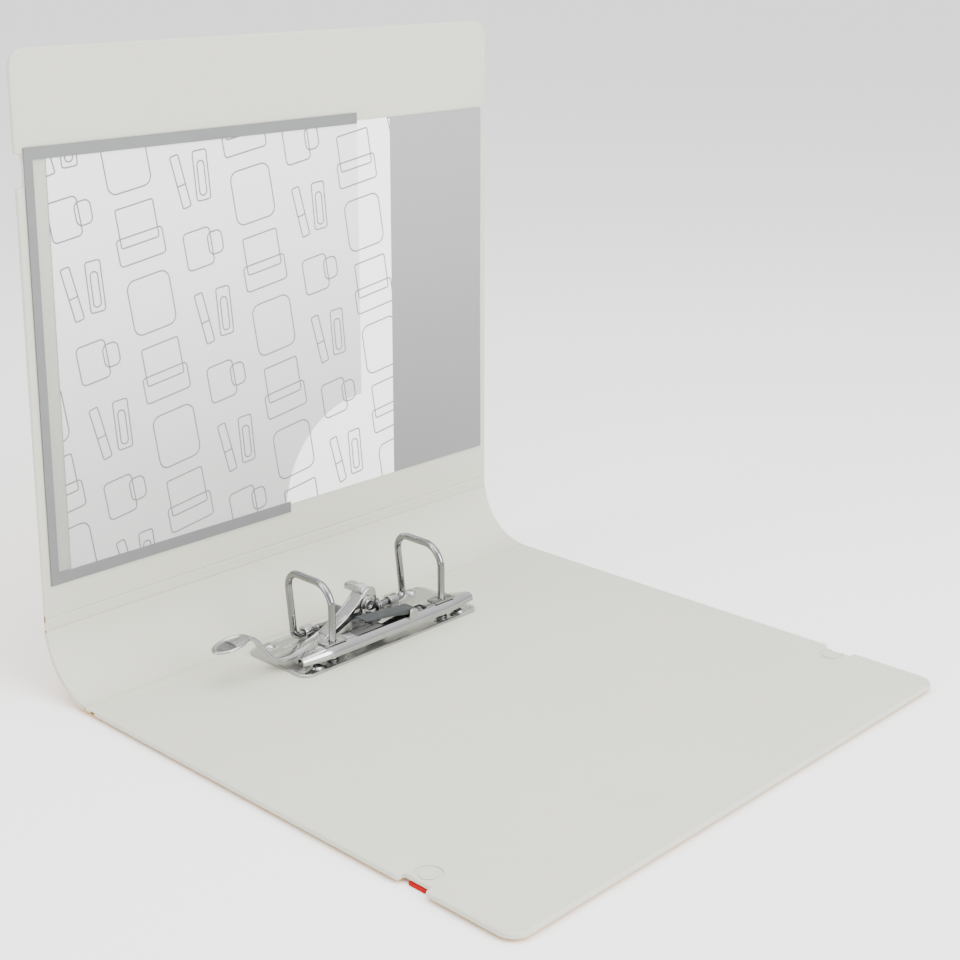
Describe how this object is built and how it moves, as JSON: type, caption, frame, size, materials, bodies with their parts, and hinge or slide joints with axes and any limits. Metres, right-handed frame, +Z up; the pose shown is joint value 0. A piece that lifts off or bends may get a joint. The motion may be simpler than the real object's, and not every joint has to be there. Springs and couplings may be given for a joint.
{
  "type": "lever arch file",
  "caption": "Lever arch ring binder, open: flat rear cover with a lever-worked two-arch clamp, curved spine, upright front cover with a pocket and a closing band.",
  "frame": {"origin": "middle of the open file's box, on the surface it lies on", "axes": "+X from the spine to the rear cover's fore-edge, +Y from the file's foot to its head, +Z up"},
  "size_m": [0.3218, 0.318, 0.3234],
  "materials": {
    "cover_board": "yellow foil-covered board outside, light grey inside",
    "crease_strip": "flexible light grey foil",
    "label_paper": "white label",
    "pocket_film": "clear film, welded grey border",
    "sheet_paper": "printed white paper",
    "band_elastic": "red woven elastic",
    "grey_rivet": "grey plastic",
    "nickel_steel": "bright nickel plate",
    "nickel_wire": "bright nickel-plated wire",
    "spring_steel": "bare spring steel",
    "dark_plastic": "dark grey moulded plastic"
  },
  "bodies": {
    "rear_cover_body": {"rear_cover": "cover_board", "base_plate": "nickel_steel", "arch_bearings": "nickel_steel", "lever_bracket": "nickel_steel", "lever_pin": "nickel_steel", "return_spring": "spring_steel", "left_post": "nickel_wire", "right_post": "nickel_wire", "mechanism_rivets": "nickel_steel", "band_rivets": "grey_rivet", "band_tabs": "band_elastic"},
    "spine_body": {"spine_panel": "cover_board", "rear_crease": "crease_strip", "front_crease": "crease_strip", "spine_label": "label_paper"},
    "front_cover_body": {"front_cover": "cover_board", "document_pocket": "pocket_film"},
    "sheet_body": {"insert_sheet": "sheet_paper"},
    "arch_body": {"arch_wire": "nickel_wire"},
    "lever_body": {"lever": "nickel_steel", "lever_roller": "dark_plastic", "roller_pin": "nickel_steel"},
    "compressor_body": {"compressor_bar": "nickel_steel", "post_clips": "spring_steel", "latch_pin": "nickel_steel"},
    "latch_body": {"compressor_latch": "dark_plastic"},
    "band_body": {"elastic_band": "band_elastic"}
  },
  "joints": [
    {"name": "spine_hinge", "type": "hinge", "parent": "rear_cover_body", "child": "spine_body", "pos_m": [-0.12412, 0, 0.003], "axis": [0, -1, 0], "range_deg": [-45, 0]},
    {"name": "front_hinge", "type": "hinge", "parent": "spine_body", "child": "front_cover_body", "pos_m": [-0.15948, 0, 0.03836], "axis": [0, -1, 0], "range_deg": [-45, 90]},
    {"name": "sheet_slide", "type": "slide", "parent": "front_cover_body", "child": "sheet_body", "axis": [0, 1, 0], "range_m": [0, 0.2]},
    {"name": "lever_lift", "type": "hinge", "parent": "rear_cover_body", "child": "lever_body", "pos_m": [-0.09262, -0.006, 0.0244], "axis": [-1, 0, 0], "range_deg": [0, 76]},
    {"name": "arch_swing", "type": "hinge", "parent": "rear_cover_body", "child": "arch_body", "pos_m": [-0.10912, 0, 0.0099], "axis": [0, -1, 0], "range_deg": [0, 68.4]},
    {"name": "compressor_slide", "type": "slide", "parent": "rear_cover_body", "child": "compressor_body", "axis": [0, 0, 1], "range_m": [0, 0.019]},
    {"name": "latch_press", "type": "hinge", "parent": "compressor_body", "child": "latch_body", "pos_m": [-0.07812, 0.014, 0.0182], "axis": [1, 0, 0], "range_deg": [0, 5]},
    {"name": "band_lift", "type": "slide", "parent": "rear_cover_body", "child": "band_body", "axis": [0, 0, -1], "range_m": [-0.0545, 0], "deforming": ["elastic_band"]}
  ],
  "couplings": [
    {"joint": "arch_swing", "follows": "lever_lift", "ratio": 0.9}
  ]
}
